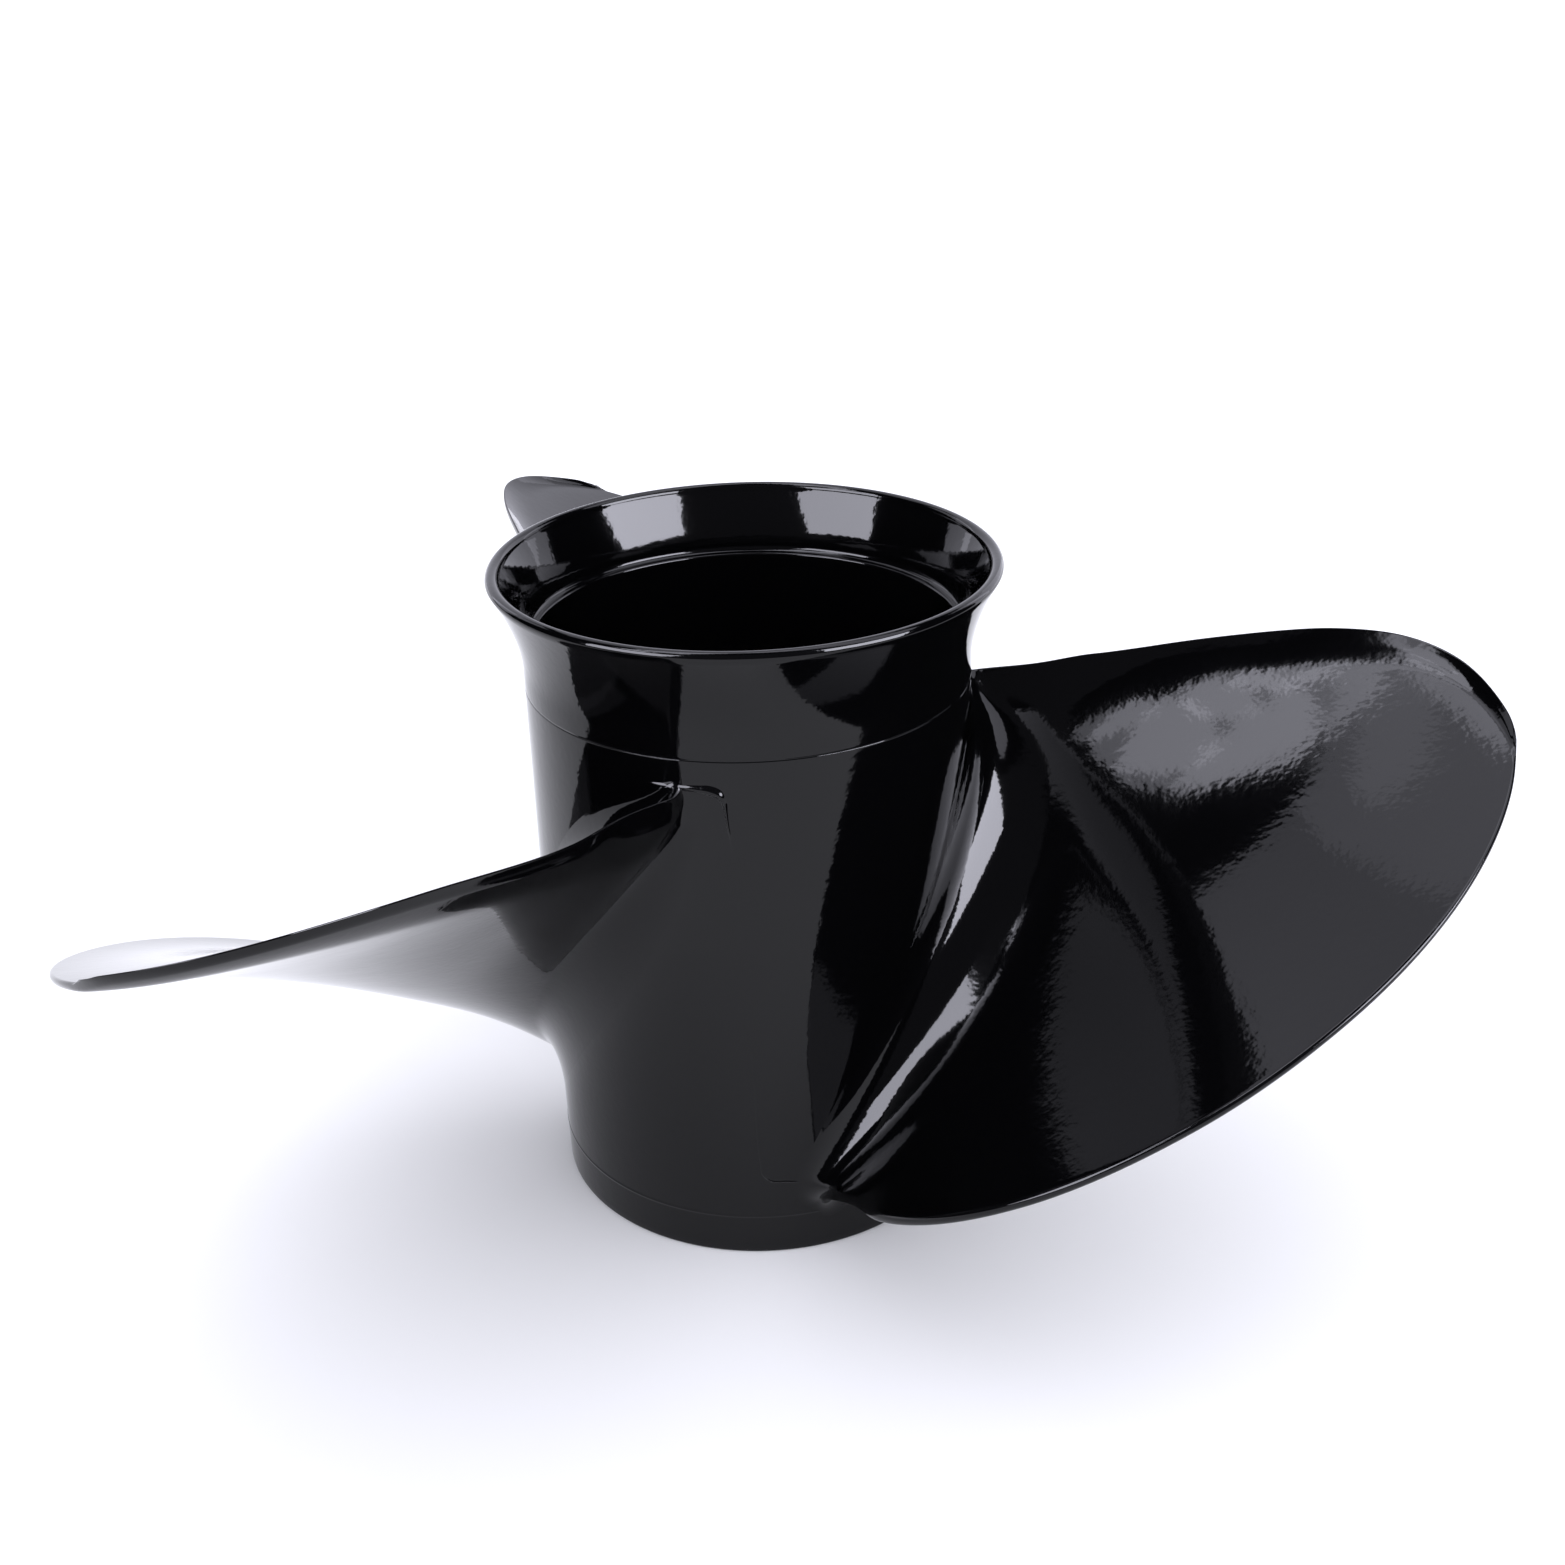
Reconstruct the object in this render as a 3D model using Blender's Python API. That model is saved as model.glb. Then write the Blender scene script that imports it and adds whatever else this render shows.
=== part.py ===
"""A three-bladed outboard propeller with a through-hub exhaust barrel.

It stands on its forward end, so +Z points aft and the flared end is on top. The origin is
on the shaft axis, in the plane of the forward rim. A blade is laid out as on a propeller
drawing: each section is drawn on a cylinder about the shaft axis, and a screw surface of
constant pitch carries its pressure face.
"""

import math

import bmesh
import bpy
import numpy as np

MM = 0.001

# Spacing left between pieces that touch
GAP = 0.3 * MM

# Barrel
BARREL_TOP = 133.3 * MM
RIM_RADIUS = 51.6 * MM
SHOULDER_RADIUS = 53.0 * MM
SHOULDER_HEIGHT = 85.0 * MM
BORE_FORWARD_RADIUS = 46.8 * MM
BORE_AFT_RADIUS = 49.5 * MM
RIM_CHAMFER = 0.8 * MM
TURNED_STEPS = 96

# Flared ring on the aft end
FLARE_TOP = 161.0 * MM
FLARE_RADIUS = 60.0 * MM
FLARE_START = 138.0 * MM
FLARE_POWER = 1.8
MOUTH_POWER = 1.6
LIP_ROUND = 1.5 * MM
LEDGE_HEIGHT = 145.7 * MM
LEDGE_RADIUS = 51.6 * MM
LEDGE_DROP = 1.0 * MM
FLARE_STEPS = 6
LIP_STEPS = 4

# Blades: a screw of constant pitch, with a rake that eases off towards the tip
BLADE_COUNT = 3
ROOT_RADIUS = 53.3 * MM
TIP_RADIUS = 174.3 * MM
RISE_PER_RADIAN = 430.3 * MM / math.tau
REFERENCE_ANGLE = math.radians(-30.0)
REFERENCE_HEIGHT = 72.9 * MM
RAKE_SLOPE = 0.453
RAKE_EASING = 1.275

# Blade outline: radius, angle of the leading edge and angle of the trailing edge
OUTLINE = (
    (53.3 * MM, -75.6, 13.4),
    (70.0 * MM, -73.8, 8.2),
    (85.0 * MM, -73.3, 6.9),
    (100.0 * MM, -70.5, 5.1),
    (120.0 * MM, -63.5, 2.4),
    (140.0 * MM, -51.9, -0.1),
    (155.0 * MM, -40.1, -2.9),
    (165.0 * MM, -30.7, -6.3),
    (172.0 * MM, -21.7, -11.1),
    (174.3 * MM, -14.75, -14.75),
)

# Figures in millimetres at these shares of the span: hollow of the pressure face, curl of the
# trailing edge above the screw and of the rest below it, and thickness
SPAN_KNOTS = (0.0, 0.12, 0.3, 0.6, 1.0)
CAMBER = (2.0, 2.0, 1.6, 0.8, 0.0)
CUP_RISE = (3.0, 3.0, -0.4, 0.1, 1.7)
CUP_DEPTH = (0.0, 0.6, 1.9, 2.1, 1.2)
CUP_WIDTH = 9.0 * MM
LEADING_THICKNESS = (1.9, 1.7, 1.7, 1.8, 1.6)
TRAILING_THICKNESS = (4.1, 3.8, 2.9, 2.4, 2.2)
BULGE = (1.8, 2.4, 4.6, 4.4, 0.1)
BULGE_FULLNESS = 0.7

# Rounding of the two edges: how square each nose is, its length in half thicknesses, and the
# largest share of a section that one nose may take
LEADING_SQUARENESS = 0.9
TRAILING_SQUARENESS = 0.7
LEADING_NOSE = 1.0
TRAILING_NOSE = 0.55
NOSE_LIMIT = 0.45

# Fillet where a blade meets the barrel, in millimetres at these shares of the chord: how far it
# reaches out along the blade, and how far it rises off the blade along the barrel
FILLET_KNOTS = (0.0, 0.12, 0.5, 0.8, 0.94, 1.0)
PRESSURE_REACH = (5.0, 12.0, 24.0, 18.0, 5.0, 1.5)
PRESSURE_RISE = (4.0, 8.0, 13.0, 10.0, 4.0, 1.5)
SUCTION_REACH = (4.0, 5.0, 6.5, 5.5, 3.0, 1.5)
SUCTION_RISE = (4.0, 9.0, 14.0, 10.0, 3.5, 1.5)

# Fineness of the blade's skin, and the smallest length that its formulas divide by
SMALLEST = 0.001 * MM
SLOPE_STEP = 0.5 * MM
FILLET_ROUNDS = 3
NOSE_STEPS = 2
CHORD_STEPS = 20
FILLET_STEPS = 6
SPAN_STEPS = 17
ROOT_STEPS = 6

# Inner hub and the ribs that carry it
HUB_BOTTOM = 8.0 * MM
HUB_TOP = 88.0 * MM
HUB_FORWARD_RADIUS = 31.0 * MM
HUB_AFT_RADIUS = 29.5 * MM
HUB_BORE = 23.0 * MM
RIB_THICKNESS = 8.0 * MM
RIB_BOTTOM = 14.0 * MM
RIB_TOP = 84.0 * MM

# Rubber bush and splined sleeve
BUSH_BOTTOM = 12.0 * MM
BUSH_TOP = 84.0 * MM
SLEEVE_BOTTOM = 5.0 * MM
SLEEVE_TOP = 94.0 * MM
SLEEVE_RADIUS = 16.5 * MM
SPLINE_MAJOR_RADIUS = 12.9 * MM
SPLINE_MINOR_RADIUS = 11.5 * MM
SPLINE_TEETH = 15
HUB_STEPS = 60

# One spline tooth: radius at these shares of the tooth pitch
SPLINE_TOOTH = (
    (0.0, SPLINE_MINOR_RADIUS),
    (0.30, SPLINE_MINOR_RADIUS),
    (0.45, SPLINE_MAJOR_RADIUS),
    (0.85, SPLINE_MAJOR_RADIUS),
)

# Finishes as colour, roughness and metal: the enamel's colour is the photo's
BLACK_ENAMEL = ((0.010, 0.010, 0.011, 1.0), 0.12, 0.0)
DARK_RUBBER = ((0.020, 0.020, 0.021, 1.0), 0.8, 0.0)
BRASS = ((0.60, 0.44, 0.19, 1.0), 0.35, 1.0)

# Faces that meet at more than this angle keep a sharp edge
SHARP_ANGLE = math.radians(40.0)


def clear_scene():
    """Remove whatever the file starts with."""
    for item in list(bpy.data.objects):
        bpy.data.objects.remove(item, do_unlink=True)


def material(name, finish):
    """Return a Principled material with a finish."""
    colour, roughness, metallic = finish
    made = bpy.data.materials.new(name)
    made.use_nodes = True
    shader = made.node_tree.nodes["Principled BSDF"]
    shader.inputs["Base Color"].default_value = colour
    shader.inputs["Roughness"].default_value = roughness
    shader.inputs["Metallic"].default_value = metallic
    return made


def add_piece(name, shape, finish, parent):
    """Turn a closed bmesh into a named object with its own material and free the bmesh."""
    bmesh.ops.recalc_face_normals(shape, faces=shape.faces)
    mesh = bpy.data.meshes.new(name)
    shape.to_mesh(mesh)
    shape.free()
    mesh.shade_smooth()
    mesh.set_sharp_from_angle(angle=SHARP_ANGLE)
    mesh.materials.append(material(name, finish))
    piece = bpy.data.objects.new(name, mesh)
    piece.parent = parent
    bpy.context.scene.collection.objects.link(piece)
    return piece


def between(low, high, share):
    """Return the value at a share of the way from low to high."""
    return low + (high - low) * share


def barrel_radius(height):
    """Outer radius of the barrel, which tapers forward of its shoulder."""
    return between(RIM_RADIUS, SHOULDER_RADIUS, np.clip(height / SHOULDER_HEIGHT, 0.0, 1.0))


def bore_radius(height):
    """Inner radius of the barrel, with the draft that lets the core out."""
    return between(BORE_FORWARD_RADIUS, BORE_AFT_RADIUS, height / BARREL_TOP)


def hub_radius(height):
    """Outer radius of the inner hub."""
    share = (height - HUB_BOTTOM) / (HUB_TOP - HUB_BOTTOM)
    return between(HUB_FORWARD_RADIUS, HUB_AFT_RADIUS, share)


def turned(profile, steps):
    """Spin a closed profile of (radius, height) points about the shaft axis."""
    shape = bmesh.new()
    points = [shape.verts.new((radius, 0.0, height)) for radius, height in profile]
    edges = [shape.edges.new((points[i - 1], points[i])) for i in range(len(points))]
    bmesh.ops.spin(
        shape,
        geom=points + edges,
        cent=(0.0, 0.0, 0.0),
        axis=(0.0, 0.0, 1.0),
        dvec=(0.0, 0.0, 0.0),
        angle=math.tau,
        steps=steps,
        use_merge=True,
    )
    return shape


def barrel_shape():
    """The exhaust barrel, from the forward rim to the ring line."""
    profile = [
        (bore_radius(BARREL_TOP), BARREL_TOP),
        (SHOULDER_RADIUS, BARREL_TOP),
        (SHOULDER_RADIUS, SHOULDER_HEIGHT),
        (barrel_radius(RIM_CHAMFER), RIM_CHAMFER),
        (RIM_RADIUS - RIM_CHAMFER, 0.0),
        (BORE_FORWARD_RADIUS + RIM_CHAMFER, 0.0),
        (bore_radius(RIM_CHAMFER), RIM_CHAMFER),
    ]
    return turned(profile, TURNED_STEPS)


def flared_ring_shape():
    """The bell-mouthed aft ring, with the ledge that ends the bore."""
    bottom = BARREL_TOP + GAP
    lip_height = FLARE_TOP - LIP_ROUND
    outside = [(SHOULDER_RADIUS, bottom)]
    for step in range(FLARE_STEPS + 1):
        share = step / FLARE_STEPS
        radius = between(SHOULDER_RADIUS, FLARE_RADIUS, share**FLARE_POWER)
        outside.append((radius, between(FLARE_START, lip_height, share)))
    for step in range(1, 2 * LIP_STEPS + 1):
        turn = math.pi * step / (2 * LIP_STEPS)
        centre = FLARE_RADIUS - LIP_ROUND
        outside.append((centre + LIP_ROUND * math.cos(turn), lip_height + LIP_ROUND * math.sin(turn)))
    inside = []
    inner_lip = FLARE_RADIUS - 2.0 * LIP_ROUND
    for step in range(1, FLARE_STEPS + 1):
        share = 1.0 - step / FLARE_STEPS
        radius = between(LEDGE_RADIUS, inner_lip, share**MOUTH_POWER)
        inside.append((radius, between(LEDGE_HEIGHT, lip_height, share)))
    inside.append((BORE_AFT_RADIUS, LEDGE_HEIGHT - LEDGE_DROP))
    inside.append((BORE_AFT_RADIUS, bottom))
    return turned(outside + inside, TURNED_STEPS)


def smooth_curve(knots, values, at):
    """Read a smooth curve through the given values at the given places."""
    knots = np.array(knots)
    values = np.array(values)
    slopes = np.gradient(values, knots)
    slopes[0] = (values[1] - values[0]) / (knots[1] - knots[0])
    slopes[-1] = (values[-1] - values[-2]) / (knots[-1] - knots[-2])
    index = np.clip(np.searchsorted(knots, at, side="right") - 1, 0, len(knots) - 2)
    width = knots[index + 1] - knots[index]
    share = np.clip((at - knots[index]) / width, 0.0, 1.0)
    square = share * share
    cube = square * share
    start = values[index] * (2.0 * cube - 3.0 * square + 1.0)
    end = values[index + 1] * (3.0 * square - 2.0 * cube)
    leaving = slopes[index] * width * (cube - 2.0 * square + share)
    arriving = slopes[index + 1] * width * (cube - square)
    return start + end + leaving + arriving


def span_share(radius):
    """Share of the way from the root to the tip."""
    return np.clip((radius - ROOT_RADIUS) / (TIP_RADIUS - ROOT_RADIUS), 0.0, 1.0)


def spanwise(values, radius):
    """Read a figure, given in millimetres at the span knots."""
    return smooth_curve(SPAN_KNOTS, values, span_share(radius)) * MM


def blade_edges(radius):
    """Angles of the leading and the trailing edge, which close smoothly at the tip."""
    table = np.array(OUTLINE)
    knots = np.arcsin(span_share(table[:, 0]))
    place = np.arcsin(span_share(radius))
    leading = smooth_curve(knots, np.radians(table[:, 1]), place)
    trailing = smooth_curve(knots, np.radians(table[:, 2]), place)
    return leading, trailing


def face_height(radius, angle):
    """Height of the screw surface with its rake."""
    reach = radius - ROOT_RADIUS
    rake = RAKE_SLOPE * reach - RAKE_EASING * reach * reach
    return REFERENCE_HEIGHT + RISE_PER_RADIAN * (angle - REFERENCE_ANGLE) + rake


def nose_share():
    """Share of each half of a section that its rounded nose takes."""
    return NOSE_STEPS / (NOSE_STEPS + CHORD_STEPS / 2.0)


def nose_length(radius, place, thickness, chord):
    """Length of a nose along the chord, longer where the outline runs slanted."""
    lower = np.maximum(radius - SLOPE_STEP, ROOT_RADIUS)
    upper = np.minimum(radius + SLOPE_STEP, TIP_RADIUS - SMALLEST)
    low = blade_edges(lower)
    high = blade_edges(upper)
    drift = np.where(place < 0.0, high[0] - low[0], high[1] - low[1])
    run = np.maximum(upper - lower, SMALLEST)
    slope = drift * np.hypot(RISE_PER_RADIAN, radius) / run
    nose = np.where(place < 0.0, LEADING_NOSE, TRAILING_NOSE)
    return np.minimum(0.5 * thickness * nose * np.hypot(1.0, slope), NOSE_LIMIT * chord)


def blade_section(radius, place, side, growth):
    """Angle and height of points on a blade's skin.

    Place runs from -1 at the leading edge to 1 at the trailing edge, and side is 1 on the
    pressure side and -1 on the suction side. Growth lifts a point off the blade.
    """
    leading, trailing = blade_edges(radius)
    chord = np.maximum((trailing - leading) * np.hypot(RISE_PER_RADIAN, radius), SMALLEST)
    depth = np.clip((np.abs(place) - 1.0 + nose_share()) / nose_share(), 0.0, 1.0)
    swing = 0.5 * math.pi * (1.0 - depth)
    power = np.where(place < 0.0, LEADING_SQUARENESS, TRAILING_SQUARENESS)
    outward = np.cos(swing) ** power
    sideward = np.sin(swing) ** power
    front = spanwise(LEADING_THICKNESS, radius)
    rear = spanwise(TRAILING_THICKNESS, radius)
    edge_thickness = np.where(place < 0.0, front, rear)
    nose = nose_length(radius, place, edge_thickness, chord)
    inner = np.clip(np.abs(place) / (1.0 - nose_share()), 0.0, 1.0)
    from_middle = (0.5 * chord - nose) * inner + nose * outward
    share = 0.5 + np.sign(place) * from_middle / chord
    angle = between(leading, trailing, share)
    cup = np.clip(1.0 - (1.0 - share) * chord / CUP_WIDTH, 0.0, 1.0) ** 2
    arch = np.clip(4.0 * share * (1.0 - share), 0.0, 1.0)
    hollow = spanwise(CAMBER, radius) * arch + spanwise(CUP_DEPTH, radius) * share * (1.0 - cup)
    height = face_height(radius, angle) - hollow + spanwise(CUP_RISE, radius) * cup
    thickness = between(front, rear, share) + spanwise(BULGE, radius) * arch**BULGE_FULLNESS
    tip_gap = np.clip((TIP_RADIUS - radius) / (0.5 * edge_thickness), 0.0, 1.0)
    tip_round = np.sqrt(1.0 - (1.0 - tip_gap) ** 2)
    slant = np.arctan2(RISE_PER_RADIAN, radius)
    half = 0.5 * thickness / np.cos(slant)
    height = height + half * (side * tip_round * sideward - 1.0)
    lift = side * growth * sideward
    push = np.sign(place) * growth * outward
    angle = angle + (push * np.cos(slant) - lift * np.sin(slant)) / radius
    return angle, height + push * np.sin(slant) + lift * np.cos(slant)


def fillet_sizes(place, side):
    """How far the root fillet reaches along the blade and rises along the barrel."""
    share = 0.5 + 0.5 * place
    sizes = []
    for pressure, suction in ((PRESSURE_REACH, SUCTION_REACH), (PRESSURE_RISE, SUCTION_RISE)):
        on_pressure = smooth_curve(FILLET_KNOTS, pressure, share)
        on_suction = smooth_curve(FILLET_KNOTS, suction, share)
        sizes.append(np.where(side > 0.0, on_pressure, on_suction) * MM)
    return sizes


def fillet_rings(place, side):
    """Rings that leave the barrel level and turn into the blade, as angle, height and radius."""
    reach, rise = fillet_sizes(place, side)
    rings = []
    for step in range(FILLET_STEPS + 1):
        turn = 0.5 * math.pi * step / FILLET_STEPS
        distance = reach * (1.0 - math.cos(turn))
        growth = rise * (1.0 - math.sin(turn))
        radius = ROOT_RADIUS + distance
        for _ in range(FILLET_ROUNDS):
            angle, height = blade_section(radius, place, side, growth)
            radius = barrel_radius(height) + GAP + distance
        rings.append((angle, height, radius))
    return rings


def blade_rings():
    """Every ring from root to tip; each starts at the leading edge on the pressure side."""
    forward = np.linspace(-1.0, 1.0, CHORD_STEPS + 2 * NOSE_STEPS + 1)
    place = np.concatenate([forward, forward[-2:0:-1]])
    side = np.where(np.arange(len(place)) < len(forward), 1.0, -1.0)
    rings = fillet_rings(place, side)
    start = np.arcsin(span_share(rings[-1][2]))
    for step in range(1, SPAN_STEPS):
        climb = between(start, 0.5 * math.pi, step / SPAN_STEPS)
        radius = between(ROOT_RADIUS, TIP_RADIUS, np.sin(climb))
        angle, height = blade_section(radius, place, side, 0.0)
        rings.append((angle, height, radius))
    return rings


def tip_point():
    """The point where the blade's edges meet, at half its thickness."""
    angle = math.radians(OUTLINE[-1][1])
    radius = np.full(1, TIP_RADIUS)
    _, height = blade_section(radius, np.zeros(1), np.ones(1), 0.0)
    return on_cylinder(angle, height[0], TIP_RADIUS)


def on_cylinder(angle, height, radius):
    """Point at an angle and a height on a cylinder about the shaft axis."""
    return (radius * math.cos(angle), radius * math.sin(angle), height)


def blade_shape():
    """One blade as a closed skin: rings joined by strips, a curved root and a rounded tip."""
    shape = bmesh.new()
    rings = blade_rings()
    loops = []
    for ring in rings:
        loops.append([shape.verts.new(on_cylinder(*point)) for point in np.array(ring).T.tolist()])
    for inner, outer in zip(loops, loops[1:]):
        for i in range(len(inner)):
            shape.faces.new((inner[i - 1], inner[i], outer[i], outer[i - 1]))
    tip = shape.verts.new(tip_point())
    for i in range(len(loops[-1])):
        shape.faces.new((loops[-1][i - 1], loops[-1][i], tip))
    close_root(shape, loops[0], rings[0])
    return shape


def close_root(shape, loop, ring):
    """Fill the root with strips that follow the barrel from the pressure to the suction side."""
    angle, height, _ = ring
    count = len(loop)
    columns = []
    for i in range(1, count // 2):
        other = count - i
        column = [loop[i]]
        for step in range(1, ROOT_STEPS):
            turn = between(angle[i], angle[other], step / ROOT_STEPS)
            level = between(height[i], height[other], step / ROOT_STEPS)
            column.append(shape.verts.new(on_cylinder(turn, level, barrel_radius(level) + GAP)))
        columns.append(column + [loop[other]])
    for left, right in zip(columns, columns[1:]):
        for i in range(ROOT_STEPS):
            shape.faces.new((left[i], left[i + 1], right[i + 1], right[i]))
    for column, end in ((columns[0], loop[0]), (columns[-1], loop[count // 2])):
        for i in range(ROOT_STEPS):
            shape.faces.new((column[i], column[i + 1], end))


def inner_hub_shape():
    """The tube that the rubber is pressed into."""
    profile = [
        (HUB_BORE, HUB_TOP),
        (HUB_AFT_RADIUS, HUB_TOP),
        (HUB_FORWARD_RADIUS, HUB_BOTTOM),
        (HUB_BORE, HUB_BOTTOM),
    ]
    return turned(profile, HUB_STEPS)


def rubber_bush_shape():
    """The rubber that lets the hub slip before a gear breaks."""
    inner = SLEEVE_RADIUS + GAP
    outer = HUB_BORE - GAP
    profile = [(inner, BUSH_TOP), (outer, BUSH_TOP), (outer, BUSH_BOTTOM), (inner, BUSH_BOTTOM)]
    return turned(profile, HUB_STEPS)


def rib_shape():
    """A web from the inner hub to the barrel, lying along +X."""
    half = RIB_THICKNESS / 2.0
    shape = bmesh.new()
    corners = []
    for height in (RIB_BOTTOM, RIB_TOP):
        inner = hub_radius(height) + GAP
        outer = math.sqrt((bore_radius(height) - GAP) ** 2 - half * half)
        for x, y in ((inner, -half), (outer, -half), (outer, half), (inner, half)):
            corners.append(shape.verts.new((x, y, height)))
    shape.faces.new(corners[3::-1])
    shape.faces.new(corners[4:])
    for i in range(4):
        j = (i + 1) % 4
        shape.faces.new((corners[i], corners[j], corners[j + 4], corners[i + 4]))
    return shape


def splined_sleeve_shape():
    """The sleeve with its inner spline, drawn as a toothed ring and raised."""
    shape = bmesh.new()
    pitch = math.tau / SPLINE_TEETH
    rings = []
    for height in (SLEEVE_BOTTOM, SLEEVE_TOP):
        inner = []
        outer = []
        for tooth in range(SPLINE_TEETH):
            for share, radius in SPLINE_TOOTH:
                angle = (tooth + share) * pitch
                inner.append(shape.verts.new(on_cylinder(angle, height, radius)))
                outer.append(shape.verts.new(on_cylinder(angle, height, SLEEVE_RADIUS)))
        rings.append((inner, outer))
    (low_in, low_out), (high_in, high_out) = rings
    for i in range(len(low_in)):
        shape.faces.new((low_out[i - 1], low_out[i], high_out[i], high_out[i - 1]))
        shape.faces.new((low_in[i], low_in[i - 1], high_in[i - 1], high_in[i]))
        shape.faces.new((high_out[i - 1], high_out[i], high_in[i], high_in[i - 1]))
        shape.faces.new((low_out[i], low_out[i - 1], low_in[i - 1], low_in[i]))
    return shape


def build():
    """Make every piece under one empty on the shaft axis."""
    clear_scene()
    axis = bpy.data.objects.new("propeller_axis", None)
    bpy.context.scene.collection.objects.link(axis)
    add_piece("barrel", barrel_shape(), BLACK_ENAMEL, axis)
    add_piece("flared_ring", flared_ring_shape(), BLACK_ENAMEL, axis)
    add_piece("inner_hub", inner_hub_shape(), BLACK_ENAMEL, axis)
    for number in range(BLADE_COUNT):
        turn = math.tau * number / BLADE_COUNT
        blade = add_piece(f"blade_{number + 1}", blade_shape(), BLACK_ENAMEL, axis)
        blade.rotation_euler.z = turn
        rib = add_piece(f"rib_{number + 1}", rib_shape(), BLACK_ENAMEL, axis)
        rib.rotation_euler.z = turn + REFERENCE_ANGLE
    add_piece("rubber_bush", rubber_bush_shape(), DARK_RUBBER, axis)
    add_piece("splined_sleeve", splined_sleeve_shape(), BRASS, axis)


build()
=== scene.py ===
"""The finished look of a three-bladed outboard propeller, dressed over its CAD frame.

The casting's regions are rebuilt here as fine smooth skins: the exhaust barrel with its flared
mouth, three blades with rolling fillets, and the inner hub with its ribs. Lengths are metres
in the frame of the CAD model: +Z runs aft along the shaft axis, and the forward rim that the
propeller stands on is at zero height.
"""

import logging
import math
from dataclasses import dataclass
from enum import Enum
from typing import Iterable, Sequence

import bpy
import numpy as np
from mathutils import Matrix, Vector


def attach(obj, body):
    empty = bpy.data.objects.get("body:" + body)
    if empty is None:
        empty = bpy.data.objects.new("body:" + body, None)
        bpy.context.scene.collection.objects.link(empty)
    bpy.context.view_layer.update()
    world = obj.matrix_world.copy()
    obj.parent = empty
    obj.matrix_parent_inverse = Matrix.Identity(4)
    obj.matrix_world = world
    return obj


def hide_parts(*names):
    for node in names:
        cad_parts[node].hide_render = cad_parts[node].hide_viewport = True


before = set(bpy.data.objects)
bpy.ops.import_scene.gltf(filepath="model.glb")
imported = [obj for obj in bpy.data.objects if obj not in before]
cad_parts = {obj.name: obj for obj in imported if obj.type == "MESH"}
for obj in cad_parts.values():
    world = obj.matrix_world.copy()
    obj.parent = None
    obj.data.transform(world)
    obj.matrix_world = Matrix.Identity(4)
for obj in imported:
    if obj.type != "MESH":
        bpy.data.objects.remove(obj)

logging.basicConfig(level=logging.INFO, format="%(message)s")
log = logging.getLogger("propeller")

MM = 0.001
BODY = "root"
BLADES = 3
# Steps in a rounded edge's quarter turn.
EDGE_STEPS = 6
# A length in metres that is too small to show. It keeps divisions safe.
TINY = 1e-6


def linear(hex_colour: str) -> tuple[float, float, float, float]:
    """Turn an sRGB hex colour into linear red, green, blue and alpha.

    Args:
        hex_colour: six hex digits, such as "0B0B0C".

    Returns:
        The four values that a shader socket takes.
    """
    values = []
    for start in (0, 2, 4):
        share = int(hex_colour[start : start + 2], 16) / 255.0
        values.append(share / 12.92 if share <= 0.04045 else ((share + 0.055) / 1.055) ** 2.4)
    return (values[0], values[1], values[2], 1.0)


# Materials

# Most values of a noise lie between these.
NOISE_SPAN = {"From Min": 0.3, "From Max": 0.7}


class NodeKind(Enum):
    """The types of node that the finishes are made of."""

    PLACE = "ShaderNodeTexCoord"
    NOISE = "ShaderNodeTexNoise"
    WAVE = "ShaderNodeTexWave"
    BUMP = "ShaderNodeBump"
    RANGE = "ShaderNodeMapRange"
    MIX = "ShaderNodeMix"


class MaterialGraph:
    """A node-based material that is built up one node at a time."""

    def __init__(self, name: str) -> None:
        """Start a material that holds its shader and the place on the object.

        Args:
            name: the material's name, which says what it is made of and how.
        """
        self.material = bpy.data.materials.new(name)
        self.material.use_nodes = True
        self.tree = self.material.node_tree
        self.place = self.add(NodeKind.PLACE, "Object", {})

    def fill(self, node: bpy.types.Node, inputs: dict) -> None:
        """Fill or link a node's inputs.

        Args:
            node: the node.
            inputs: socket name to a value, or to an output socket to link.
        """
        for key, value in inputs.items():
            if isinstance(value, bpy.types.NodeSocket):
                self.tree.links.new(value, node.inputs[key])
            else:
                node.inputs[key].default_value = value

    def add(
        self, kind: NodeKind, output: str, inputs: dict, **settings: object
    ) -> bpy.types.NodeSocket:
        """Add a node, set its properties and fill or link its inputs.

        Args:
            kind: the node's type.
            output: name of the output that is wanted.
            inputs: socket name to a value, or to an output socket to link.
            settings: properties of the node.

        Returns:
            The output socket.
        """
        node = self.tree.nodes.new(kind.value)
        for key, value in settings.items():
            setattr(node, key, value)
        self.fill(node, inputs)
        return node.outputs[output]

    def finish(self, inputs: dict) -> bpy.types.Material:
        """Fill or link the shader's own inputs and return the material."""
        self.fill(self.tree.nodes["Principled BSDF"], inputs)
        return self.material


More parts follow.
